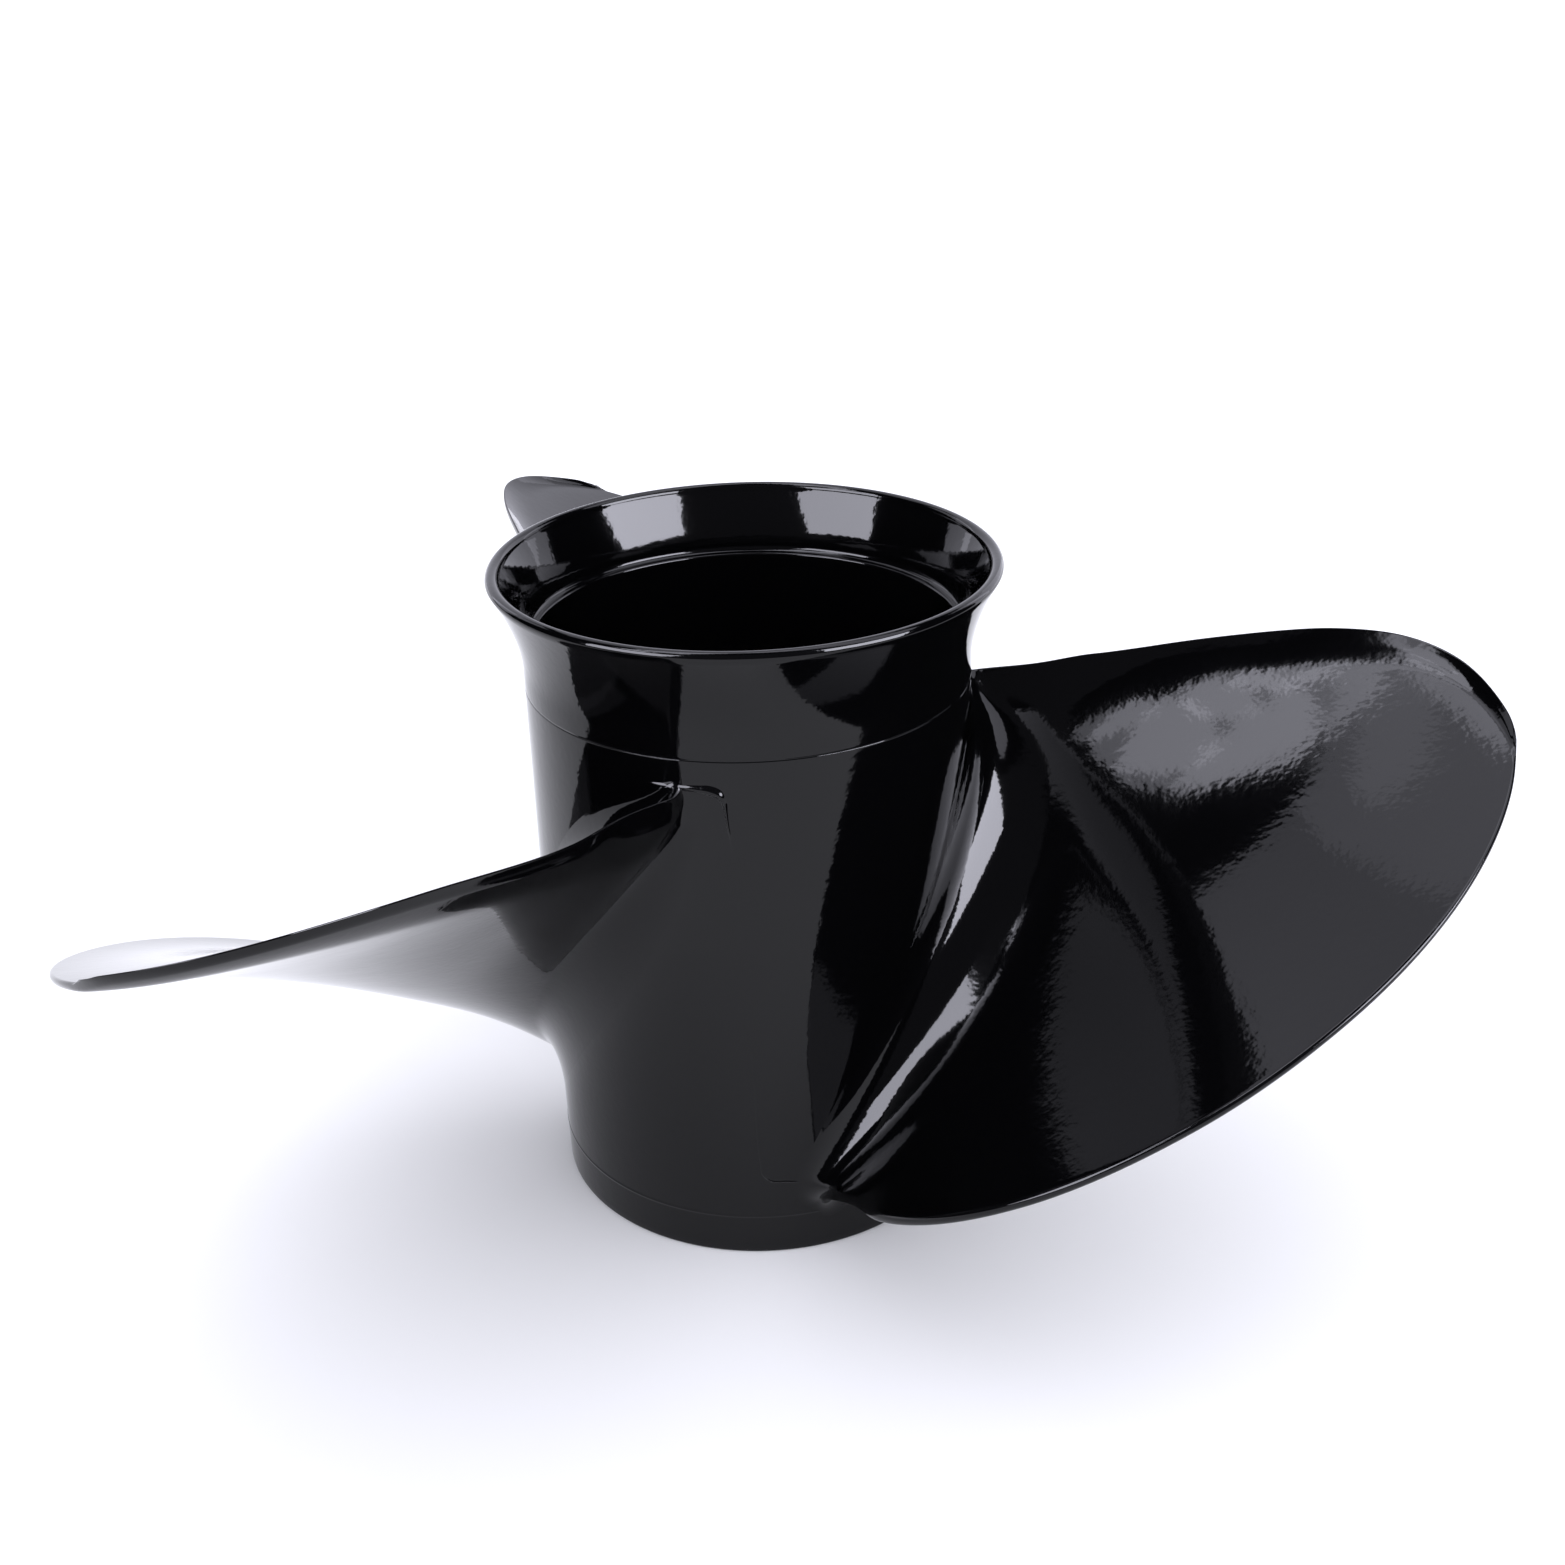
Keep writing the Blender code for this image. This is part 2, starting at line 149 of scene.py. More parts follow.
@dataclass(frozen=True)
class GlossEnamel:
    """Black enamel sprayed over a die casting.

    It gives the eye a deep black that mirrors the room almost as sharply as wet paint. Orange
    peel ruffles the edges of the reflections, and the long waves of the casting bend them.
    The index starts from the 1.5 of enamel and is lowered until the dark areas are as dark as
    in the photo.
    """

    name: str = "gloss black enamel sprayed on die-cast aluminium"
    colour: str = "040405"
    index: float = 1.34
    roughness: tuple[float, float] = (0.05, 0.08)
    roughness_period: float = 28.0 * MM
    peel_period: float = 1.7 * MM
    peel_depth: float = 0.020 * MM
    peel_detail: float = 1.0
    wave_period: float = 14.0 * MM
    wave_depth: float = 0.06 * MM

    def build(self) -> bpy.types.Material:
        """Build the enamel, with orange peel over the long waves of the casting.

        Returns:
            The material.
        """
        graph = MaterialGraph(self.name)
        swell = {"Vector": graph.place, "Scale": 1.0 / self.wave_period}
        height = graph.add(NodeKind.NOISE, "Fac", swell)
        waves = graph.add(NodeKind.BUMP, "Normal", {"Height": height, "Distance": self.wave_depth})
        spray = {"Vector": graph.place, "Scale": 1.0 / self.peel_period, "Detail": self.peel_detail}
        peel = {
            "Height": graph.add(NodeKind.NOISE, "Fac", spray),
            "Distance": self.peel_depth,
            "Normal": waves,
        }
        normal = graph.add(NodeKind.BUMP, "Normal", peel)
        patches = {"Vector": graph.place, "Scale": 1.0 / self.roughness_period}
        spread = {"Value": graph.add(NodeKind.NOISE, "Fac", patches), **NOISE_SPAN}
        spread["To Min"], spread["To Max"] = self.roughness
        rough = graph.add(NodeKind.RANGE, "Result", spread)
        colour = linear(self.colour)
        return graph.finish(
            {"Base Color": colour, "Roughness": rough, "IOR": self.index, "Normal": normal}
        )


@dataclass(frozen=True)
class MouldedRubber:
    """Black rubber moulded around the sleeve.

    It gives the eye a dull dark grey with a fine grain and paler patches of bloom.
    """

    name: str = "moulded black rubber"
    colour: str = "18181A"
    dusty: str = "2A2A2C"
    roughness: tuple[float, float] = (0.6, 0.85)
    grain_period: float = 0.6 * MM
    grain_depth: float = 0.03 * MM
    grain_detail: float = 3.0
    bloom_period: float = 9.0 * MM
    bloom_detail: float = 4.0

    def build(self) -> bpy.types.Material:
        """Build the rubber, with its grain and bloom.

        Returns:
            The material.
        """
        graph = MaterialGraph(self.name)
        patches = {
            "Vector": graph.place,
            "Scale": 1.0 / self.bloom_period,
            "Detail": self.bloom_detail,
        }
        bloom = graph.add(NodeKind.NOISE, "Fac", patches)
        shades = {"Factor": bloom, "A": linear(self.colour), "B": linear(self.dusty)}
        colour = graph.add(NodeKind.MIX, "Result", shades, data_type="RGBA")
        grain = {
            "Vector": graph.place,
            "Scale": 1.0 / self.grain_period,
            "Detail": self.grain_detail,
        }
        height = graph.add(NodeKind.NOISE, "Fac", grain)
        normal = graph.add(NodeKind.BUMP, "Normal", {"Height": height, "Distance": self.grain_depth})
        spread = {"Value": bloom, **NOISE_SPAN}
        spread["To Min"], spread["To Max"] = self.roughness
        rough = graph.add(NodeKind.RANGE, "Result", spread)
        return graph.finish({"Base Color": colour, "Roughness": rough, "Normal": normal})


@dataclass(frozen=True)
class MachinedBrass:
    """Brass that was turned on a lathe, with a broached spline.

    It gives the eye a warm metal with rings about the axis on its ends, and darker patches of
    tarnish. Real tool marks are about 0.35 mm apart. They are drawn as coarse as they need to
    be to show.
    """

    name: str = "turned and broached brass"
    bright: str = "C9A45A"
    tarnish: str = "8A6B38"
    roughness: tuple[float, float] = (0.22, 0.42)
    ring_period: float = 2.2 * MM
    ring_depth: float = 0.01 * MM
    ring_waver: float = 0.5
    # What a wave texture of scale 1 repeats after.
    unscaled_period: float = math.tau / 20.0
    tarnish_period: float = 12.0 * MM
    tarnish_detail: float = 4.0

    def build(self) -> bpy.types.Material:
        """Build the brass, with its rings and tarnish.

        Returns:
            The material.
        """
        graph = MaterialGraph(self.name)
        marks = {
            "Vector": graph.place,
            "Scale": self.unscaled_period / self.ring_period,
            "Distortion": self.ring_waver,
        }
        rings = graph.add(NodeKind.WAVE, "Fac", marks, wave_type="RINGS", rings_direction="Z")
        patches = {
            "Vector": graph.place,
            "Scale": 1.0 / self.tarnish_period,
            "Detail": self.tarnish_detail,
        }
        tarnish = graph.add(NodeKind.NOISE, "Fac", patches)
        shades = {"Factor": tarnish, "A": linear(self.bright), "B": linear(self.tarnish)}
        colour = graph.add(NodeKind.MIX, "Result", shades, data_type="RGBA")
        spread = {"Value": tarnish, **NOISE_SPAN}
        spread["To Min"], spread["To Max"] = self.roughness
        rough = graph.add(NodeKind.RANGE, "Result", spread)
        normal = graph.add(NodeKind.BUMP, "Normal", {"Height": rings, "Distance": self.ring_depth})
        return graph.finish(
            {"Base Color": colour, "Metallic": 1.0, "Roughness": rough, "Normal": normal}
        )


@dataclass(frozen=True)
class StudioPaper:
    """Matte white paper under the propeller.

    It gives the eye a plain pale ground without any shine.
    """

    name: str = "matte white studio paper"
    colour: str = "F4F4F4"
    roughness: float = 0.9
    shine: float = 0.0

    def build(self) -> bpy.types.Material:
        """Build the paper, with an even tone.

        Returns:
            The material.
        """
        colour = linear(self.colour)
        return MaterialGraph(self.name).finish(
            {"Base Color": colour, "Roughness": self.roughness, "Specular IOR Level": self.shine}
        )


# Meshes


def grid_faces(rows: int, columns: int, close_rows: bool, close_columns: bool) -> list[tuple]:
    """Return quads over a grid of points numbered row by row.

    Args:
        rows: number of rows.
        columns: points in each row.
        close_rows: join the last row to the first.
        close_columns: join the last column to the first.

    Returns:
        Faces as tuples of point numbers.
    """
    faces = []
    for row in range(rows if close_rows else rows - 1):
        near = row * columns
        far = (row + 1) % rows * columns
        for column in range(columns if close_columns else columns - 1):
            after = (column + 1) % columns
            faces.append((near + column, near + after, far + after, far + column))
    return faces


def add_piece(
    name: str,
    points: np.ndarray,
    faces: Sequence[Sequence[int]],
    finish: bpy.types.Material,
    nodes: Sequence[str],
) -> bpy.types.Object:
    """Make a smooth piece that rides on the propeller and stands for CAD nodes.

    Args:
        name: the piece's name.
        points: one row of X, Y and Z for each point.
        faces: tuples of point numbers.
        finish: the piece's material.
        nodes: the CAD nodes that the piece replaces.

    Returns:
        The new object.
    """
    mesh = bpy.data.meshes.new(name)
    mesh.from_pydata(points.tolist(), [], faces)
    mesh.validate()
    mesh.shade_smooth()
    mesh.materials.append(finish)
    piece = bpy.data.objects.new(name, mesh)
    bpy.context.scene.collection.objects.link(piece)
    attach(piece, BODY)
    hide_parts(*nodes)
    log.info("%s: %d faces", name, len(faces))
    return piece


def smooth_curve(knots: np.ndarray, values: np.ndarray, at: np.ndarray) -> np.ndarray:
    """Read a smooth curve through the given values.

    Args:
        knots: rising positions of the values.
        values: one value for each knot.
        at: positions to read.

    Returns:
        The curve's value at each position.
    """
    slopes = np.gradient(values, knots)
    slopes[0] = (values[1] - values[0]) / (knots[1] - knots[0])
    slopes[-1] = (values[-1] - values[-2]) / (knots[-1] - knots[-2])
    index = np.clip(np.searchsorted(knots, at, side="right") - 1, 0, len(knots) - 2)
    span = knots[index + 1] - knots[index]
    share = np.clip((at - knots[index]) / span, 0.0, 1.0)
    square = share * share
    cube = square * share
    return (
        values[index] * (2.0 * cube - 3.0 * square + 1.0)
        + values[index + 1] * (3.0 * square - 2.0 * cube)
        + slopes[index] * span * (cube - 2.0 * square + share)
        + slopes[index + 1] * span * (cube - square)
    )


def arc(centre: tuple[float, float], radius: float, start: float, end: float, steps: int) -> list[tuple]:
    """Return points along an arc in the radius and height plane, angles in degrees."""
    turns = np.radians(np.linspace(start, end, steps + 1))
    return [(centre[0] + radius * math.cos(t), centre[1] + radius * math.sin(t)) for t in turns]


def ring_profile(
    inner: float, outer: tuple[float, float], bottom: float, top: float, edge: float
) -> list[tuple]:
    """Return the closed outline of a tube with rounded edges.

    Args:
        inner: radius of the bore.
        outer: outer radius at the bottom and at the top.
        bottom: height of the lower end.
        top: height of the upper end.
        edge: radius of the rounded edges.

    Returns:
        Points of radius and height, up the outside and down the inside.
    """
    points = arc((outer[0] - edge, bottom + edge), edge, 270.0, 360.0, EDGE_STEPS)
    points += arc((outer[1] - edge, top - edge), edge, 0.0, 90.0, EDGE_STEPS)
    points += arc((inner + edge, top - edge), edge, 90.0, 180.0, EDGE_STEPS)
    points += arc((inner + edge, bottom + edge), edge, 180.0, 270.0, EDGE_STEPS)
    return points


def about_shaft(points: np.ndarray, angle: float) -> np.ndarray:
    """Turn points about the shaft axis by an angle in radians."""
    return points @ np.array(Matrix.Rotation(angle, 3, "Z")).T


def turned(profile: Sequence[tuple[float, float]], steps: int) -> tuple[np.ndarray, list[tuple]]:
    """Turn a closed profile of radius and height about the shaft axis.

    Args:
        profile: points that run up the outside and down the inside.
        steps: number of steps about the axis.

    Returns:
        Points and faces.
    """
    outline = np.array(profile)
    turns = np.linspace(0.0, math.tau, steps, endpoint=False)
    points = np.empty((steps, len(outline), 3))
    points[..., 0] = np.cos(turns)[:, None] * outline[:, 0]
    points[..., 1] = np.sin(turns)[:, None] * outline[:, 0]
    points[..., 2] = outline[:, 1]
    return points.reshape(-1, 3), grid_faces(steps, len(outline), True, True)


# The casting


@dataclass(frozen=True)
class Barrel:
    """The exhaust barrel with its flared mouth.

    The foot line is a fine raised ring near the forward rim, and the groove is a fine cut
    just below the flare. Fine rows of points reach some widths of a line to each side of it.
    The ledge is the step where the mouth meets the bore, and each point of its bevel says how
    far inward and how far above the ledge it lies.
    """

    rim_radius: float = 51.6 * MM
    shoulder_radius: float = 53.0 * MM
    shoulder_height: float = 85.0 * MM
    bore_forward: float = 46.8 * MM
    bore_aft: float = 49.5 * MM
    bore_top: float = 133.3 * MM
    flare_start: float = 138.0 * MM
    flare_top: float = 161.0 * MM
    flare_radius: float = 60.0 * MM
    flare_power: float = 1.8
    mouth_power: float = 1.6
    lip_round: float = 1.5 * MM
    ledge_height: float = 145.7 * MM
    ledge_radius: float = 51.6 * MM
    ledge_drop: float = 1.0 * MM
    ledge_edge: float = 0.5 * MM
    ledge_bevel: tuple[tuple[float, float], ...] = ((0.25 * MM, 0.55 * MM), (0.7 * MM, 0.2 * MM))
    edge_round: float = 0.8 * MM
    foot_line: float = 11.1 * MM
    foot_line_width: float = 0.32 * MM
    foot_line_rise: float = 0.11 * MM
    groove_height: float = 133.3 * MM
    groove_width: float = 0.20 * MM
    groove_depth: float = 0.10 * MM
    around: int = 384
    outside_rows: int = 110
    line_rows: int = 19
    line_reach: float = 2.4
    lip_steps: int = 14
    mouth_rows: int = 25
    bore_rows: int = 8

    def radius(self, height: np.ndarray) -> np.ndarray:
        """Outer radius below the flare."""
        share = np.clip(height / self.shoulder_height, 0.0, 1.0)
        return self.rim_radius + (self.shoulder_radius - self.rim_radius) * share

    def bore_radius(self, height: np.ndarray) -> np.ndarray:
        """Inner radius below the mouth."""
        return self.bore_forward + (self.bore_aft - self.bore_forward) * height / self.bore_top

    def outer_radius(self, height: np.ndarray) -> np.ndarray:
        """Outer radius with the flare, the foot line and the groove.

        Args:
            height: heights above the forward rim.

        Returns:
            The radius at each height.
        """
        lip_height = self.flare_top - self.lip_round
        share = np.clip((height - self.flare_start) / (lip_height - self.flare_start), 0.0, 1.0)
        radius = self.radius(height)
        radius = radius + (self.flare_radius - self.shoulder_radius) * share**self.flare_power
        foot = (height - self.foot_line) / self.foot_line_width
        groove = (height - self.groove_height) / self.groove_width
        radius = radius + self.foot_line_rise * np.exp(-foot * foot)
        return radius - self.groove_depth * np.exp(-groove * groove)

    def outside(self) -> list[tuple[float, float]]:
        """Draw the outside from the foot to the lip, with finer rows over each ring line.

        Returns:
            Points of radius and height.
        """
        rows = [np.linspace(self.edge_round, self.flare_top - self.lip_round, self.outside_rows)]
        for line, width in (
            (self.foot_line, self.foot_line_width),
            (self.groove_height, self.groove_width),
        ):
            reach = self.line_reach * width
            rows.append(np.linspace(line - reach, line + reach, self.line_rows))
        heights = np.unique(np.concatenate(rows))
        return list(zip(self.outer_radius(heights).tolist(), heights.tolist()))

    def mouth(self) -> list[tuple[float, float]]:
        """Draw the inside of the flare from the lip down to the ledge and over its bevel.

        Returns:
            Points of radius and height.
        """
        lip_height = self.flare_top - self.lip_round
        lip_radius = self.flare_radius - 2.0 * self.lip_round
        shares = np.linspace(1.0, 0.0, self.mouth_rows + 1)[1:]
        radii = self.ledge_radius + (lip_radius - self.ledge_radius) * shares**self.mouth_power
        heights = self.ledge_height + (lip_height - self.ledge_height) * shares
        level = self.ledge_height - self.ledge_drop
        points = list(zip(radii.tolist(), heights.tolist()))
        points += [(self.ledge_radius - inward, level + above) for inward, above in self.ledge_bevel]
        edge = self.ledge_edge
        return points + arc((self.bore_aft + edge, level - edge), edge, 90.0, 180.0, EDGE_STEPS)

    def profile(self) -> list[tuple[float, float]]:
        """Draw the closed outline: up the outside, over the lip, down the inside and the foot.

        Returns:
            Points of radius and height.
        """
        edge = self.edge_round
        lip_centre = (self.flare_radius - self.lip_round, self.flare_top - self.lip_round)
        lip = arc(lip_centre, self.lip_round, 0.0, 180.0, self.lip_steps)
        heights = edge + (self.bore_top - edge) * np.linspace(1.0, 0.0, self.bore_rows)
        bore = list(zip(self.bore_radius(heights).tolist(), heights.tolist()))
        foot = arc((self.bore_forward + edge, edge), edge, 180.0, 270.0, EDGE_STEPS)[1:]
        foot += arc((self.rim_radius - edge, edge), edge, 270.0, 360.0, EDGE_STEPS)[:-1]
        return self.outside() + lip[1:] + self.mouth() + bore + foot

    def build(self, seam: "PartingSeam", seams: int, finish: bpy.types.Material) -> None:
        """Add the barrel's skin, with the parting seams on it.

        Args:
            seam: the seam between two blades' roots.
            seams: how many seams there are about the barrel.
            finish: the casting's material.
        """
        points, faces = turned(self.profile(), self.around)
        seam_points, seam_faces = seam.skin(self)
        for number in range(seams):
            faces += [tuple(index + len(points) for index in face) for face in seam_faces]
            points = np.vstack([points, about_shaft(seam_points, math.tau * number / seams)])
        nodes = ["barrel", "flared_ring"]
        add_piece("exhaust_barrel", points, faces, finish, nodes)


@dataclass(frozen=True)
class PartingSeam:
    """The raised seam that the die leaves from one blade's root to the next.

    Each knot of the path gives an angle in degrees, a height, and the seam's width and rise.
    The seam's edges are sunk a little into the barrel, so that no gap shows.
    """

    path: tuple[tuple[float, float, float, float], ...] = (
        (-114.6, 126.9 * MM, 0.6 * MM, 0.05 * MM),
        (-113.2, 126.8 * MM, 1.1 * MM, 0.22 * MM),
        (-108.0, 126.7 * MM, 1.3 * MM, 0.28 * MM),
        (-102.9, 126.5 * MM, 2.2 * MM, 0.44 * MM),
        (-100.0, 126.2 * MM, 2.9 * MM, 0.64 * MM),
        (-97.9, 125.4 * MM, 2.6 * MM, 0.70 * MM),
        (-96.8, 123.8 * MM, 1.9 * MM, 0.58 * MM),
        (-96.4, 121.5 * MM, 1.1 * MM, 0.38 * MM),
        (-96.1, 118.5 * MM, 0.8 * MM, 0.28 * MM),
        (-95.5, 114.5 * MM, 0.7 * MM, 0.14 * MM),
        (-94.3, 99.0 * MM, 0.6 * MM, 0.07 * MM),
        (-93.2, 73.0 * MM, 0.6 * MM, 0.06 * MM),
        (-92.2, 51.0 * MM, 0.6 * MM, 0.08 * MM),
        (-91.2, 27.0 * MM, 0.6 * MM, 0.12 * MM),
        (-90.7, 23.6 * MM, 0.7 * MM, 0.13 * MM),
        (-88.9, 21.8 * MM, 0.7 * MM, 0.14 * MM),
        (-84.5, 21.2 * MM, 0.7 * MM, 0.15 * MM),
        (-79.0, 20.2 * MM, 0.9 * MM, 0.17 * MM),
        (-75.5, 18.5 * MM, 1.0 * MM, 0.16 * MM),
    )
    steps: int = 360
    across: int = 13
    sink: float = 0.012 * MM

    def skin(self, barrel: Barrel) -> tuple[np.ndarray, list[tuple]]:
        """Draw one seam, lying on the barrel.

        Args:
            barrel: what the seam lies on.

        Returns:
            Points and faces.
        """
        knots = np.array(self.path)
        knots[:, 0] = np.radians(knots[:, 0]) * barrel.shoulder_radius
        lengths = np.hypot(np.diff(knots[:, 0]), np.diff(knots[:, 1]))
        travel = np.concatenate([[0.0], np.cumsum(lengths)])
        at = np.linspace(0.0, travel[-1], self.steps)
        arc_place, height, width, rise = (smooth_curve(travel, knots[:, k], at) for k in range(4))
        along = np.stack([np.gradient(arc_place), np.gradient(height)])
        along = along / np.hypot(along[0], along[1])
        rows = []
        for share in np.linspace(-1.0, 1.0, self.across):
            angle = (arc_place - 0.5 * width * share * along[1]) / barrel.shoulder_radius
            level = height + 0.5 * width * share * along[0]
            lift = rise * math.cos(0.5 * math.pi * share) ** 2 - self.sink
            radius = barrel.radius(level) + lift
            rows.append(np.stack([radius * np.cos(angle), radius * np.sin(angle), level], axis=-1))
        grid = np.array(rows)
        return grid.reshape(-1, 3), grid_faces(self.across, self.steps, False, False)


@dataclass(frozen=True)
class Blade:
    """A skewed blade drawn as sections on cylinders about the shaft axis.

    The cambers, cups and thicknesses are given at the span knots, from root to tip. The reach
    and rise of the root fillet are given at the fillet knots, from the leading to the trailing
    edge. Each row of the outline gives a radius and the angles of both edges in degrees.
    """

    barrel: Barrel
    tip_radius: float = 174.3 * MM
    pitch: float = 430.3 * MM
    reference_angle: float = math.radians(-30.0)
    reference_height: float = 72.9 * MM
    rake_slope: float = 0.453
    rake_easing: float = 1.275
    span_knots: tuple[float, ...] = (0.0, 0.12, 0.3, 0.6, 1.0)
    camber: tuple[float, ...] = (2.0 * MM, 2.0 * MM, 1.6 * MM, 0.8 * MM, 0.0 * MM)
    cup_rise: tuple[float, ...] = (1.5 * MM, 3.0 * MM, -0.4 * MM, 0.1 * MM, 1.7 * MM)
    cup_depth: tuple[float, ...] = (0.0 * MM, 0.6 * MM, 1.9 * MM, 2.1 * MM, 0.2 * MM)
    cup_width: float = 9.0 * MM
    leading_thickness: tuple[float, ...] = (1.9 * MM, 1.7 * MM, 1.7 * MM, 1.8 * MM, 1.6 * MM)
    trailing_thickness: tuple[float, ...] = (4.1 * MM, 3.8 * MM, 2.9 * MM, 2.3 * MM, 1.9 * MM)
    bulge: tuple[float, ...] = (1.8 * MM, 2.4 * MM, 4.6 * MM, 4.4 * MM, 0.1 * MM)
    bulge_fullness: float = 0.7
    fillet_knots: tuple[float, ...] = (0.0, 0.12, 0.5, 0.8, 0.94, 1.0)
    pressure_reach_mm: tuple[float, ...] = (5.0, 12.0, 25.0, 19.0, 4.0, 0.6)
    pressure_rise_mm: tuple[float, ...] = (4.5, 9.0, 17.0, 14.5, 2.5, 0.5)
    suction_reach_mm: tuple[float, ...] = (4.0, 5.0, 6.5, 5.5, 2.5, 0.6)
    suction_rise_mm: tuple[float, ...] = (4.0, 9.0, 14.0, 10.0, 2.5, 0.5)
    outline: tuple[tuple[float, float, float], ...] = (
        (53.3 * MM, -75.6, 13.4),
        (70.0 * MM, -73.8, 8.2),
        (85.0 * MM, -73.3, 6.9),
        (100.0 * MM, -70.5, 5.1),
        (120.0 * MM, -63.5, 2.4),
        (140.0 * MM, -51.9, -0.1),
        (155.0 * MM, -40.1, -2.9),
        (165.0 * MM, -30.7, -6.3),
        (172.0 * MM, -21.7, -11.1),
        (174.3 * MM, -14.75, -14.75),
    )
    leading_squareness: float = 0.9
    trailing_squareness: float = 0.8
    trailing_nose: float = 0.55
    nose_limit: float = 0.45
    outline_step: float = 0.5 * MM
    nose_steps: int = 8
    chord_steps: int = 72
    fillet_steps: int = 16
    fillet_bunching: float = 1.3
    fillet_rounds: int = 3
    span_steps: int = 96
    root_sink: float = 0.05 * MM

    @property
    def root_radius(self) -> float:
        """Radius where the outline starts."""
        return self.outline[0][0]

    @property
    def nose_share(self) -> float:
        """Share of each half of a section that its rounded nose takes."""
        return self.nose_steps / (self.nose_steps + self.chord_steps / 2.0)

    def along(self, radius: np.ndarray) -> np.ndarray:
        """Share of the way from root to tip."""
        return np.clip((radius - self.root_radius) / (self.tip_radius - self.root_radius), 0.0, 1.0)

    def spanwise(self, values: Sequence[float], radius: np.ndarray) -> np.ndarray:
        """Read a figure that is given at the span knots."""
        return smooth_curve(np.array(self.span_knots), np.array(values), self.along(radius))

    def edges(self, radius: np.ndarray) -> tuple[np.ndarray, np.ndarray]:
        """Read the outline.

        Args:
            radius: distances from the shaft axis.

        Returns:
            Angles of the leading and of the trailing edge, in radians.
        """
        table = np.array(self.outline)
        knots = np.arcsin(self.along(table[:, 0]))
        place = np.arcsin(self.along(radius))
        leading = smooth_curve(knots, np.radians(table[:, 1]), place)
        trailing = smooth_curve(knots, np.radians(table[:, 2]), place)
        return leading, trailing

    def face_height(self, radius: np.ndarray, angle: np.ndarray) -> np.ndarray:
        """Find the screw surface with its rake, before camber and cup.

        Args:
            radius: distances from the shaft axis.
            angle: angles about it, in radians.

        Returns:
            The surface's heights.
        """
        reach = radius - self.root_radius
        rake = self.rake_slope * reach - self.rake_easing * reach * reach
        return self.reference_height + self.pitch / math.tau * (angle - self.reference_angle) + rake

    def nose_swing(self, place: np.ndarray) -> np.ndarray:
        """Angle swept around a nose: zero at the very edge, a right angle where the nose ends."""
        depth = np.clip((np.abs(place) - (1.0 - self.nose_share)) / self.nose_share, 0.0, 1.0)
        return 0.5 * math.pi * (1.0 - depth)

    def nose_lengths(
        self, radius: np.ndarray, place: np.ndarray, thickness: np.ndarray, chord: np.ndarray
    ) -> np.ndarray:
        """Measure the noses along the chord, longer where the outline runs slanted.

        Args:
            radius: distances from the shaft axis.
            place: position along the section, below zero in its leading half.
            thickness: the edge's thickness.
            chord: the section's length.

        Returns:
            The length of each point's nose.
        """
        lower = np.maximum(radius - self.outline_step, self.root_radius)
        upper = np.minimum(radius + self.outline_step, self.tip_radius - TINY)
        low = self.edges(lower)
        high = self.edges(upper)
        drift = np.where(place < 0.0, high[0] - low[0], high[1] - low[1])
        per_radian = np.hypot(self.pitch / math.tau, radius)
        slope = drift * per_radian / np.maximum(upper - lower, TINY)
        share = np.where(place < 0.0, 1.0, self.trailing_nose)
        length = 0.5 * thickness * share * np.hypot(1.0, slope)
        return np.minimum(length, self.nose_limit * chord)

    def section(
        self, radius: np.ndarray, place: np.ndarray, side: np.ndarray, growth: np.ndarray
    ) -> tuple[np.ndarray, np.ndarray]:
        """Place points on the blade's skin.

        Args:
            radius: each point's distance from the shaft axis.
            place: position along the section, from -1 at the leading edge to 1 at the trailing
                edge; the outer parts are the rounded noses.
            side: 1 on the pressure side and -1 on the suction side.
            growth: how far the fillet lifts the point off the blade.

        Returns:
            The points' angles and heights.
        """
        leading, trailing = self.edges(radius)
        screw = self.pitch / math.tau
        chord = np.maximum((trailing - leading) * np.hypot(screw, radius), TINY)
        swing = self.nose_swing(place)
        front = self.spanwise(self.leading_thickness, radius)
        rear = self.spanwise(self.trailing_thickness, radius)
        edge_thickness = np.where(place < 0.0, front, rear)
        nose = self.nose_lengths(radius, place, edge_thickness, chord)
        power = np.where(place < 0.0, self.leading_squareness, self.trailing_squareness)
        outward = np.cos(swing) ** power
        sideward = np.sin(swing) ** power
        inner = np.clip(np.abs(place) / (1.0 - self.nose_share), 0.0, 1.0)
        from_middle = (0.5 * chord - nose) * inner + nose * outward
        share = 0.5 + np.sign(place) * from_middle / chord
        angle = leading + (trailing - leading) * share
        cup = np.clip(1.0 - (1.0 - share) * chord / self.cup_width, 0.0, 1.0) ** 2
        hollow = self.spanwise(self.camber, radius) * 4.0 * share * (1.0 - share)
        hollow = hollow + self.spanwise(self.cup_depth, radius) * share * (1.0 - cup)
        height = self.face_height(radius, angle) - hollow
        height = height + self.spanwise(self.cup_rise, radius) * cup
        crown = np.clip(4.0 * share * (1.0 - share), 0.0, 1.0) ** self.bulge_fullness
        thickness = front * (1.0 - share) + rear * share + self.spanwise(self.bulge, radius) * crown
        tip_gap = np.clip((self.tip_radius - radius) / (0.5 * edge_thickness), 0.0, 1.0)
        tip_round = np.sqrt(np.clip(1.0 - (1.0 - tip_gap) ** 2, 0.0, 1.0))
        slant = np.arctan2(screw, radius)
        half = 0.5 * thickness / np.cos(slant)
        height = height + half * (side * tip_round * sideward - 1.0)
        lift = side * growth * sideward
        push = np.sign(place) * growth * outward
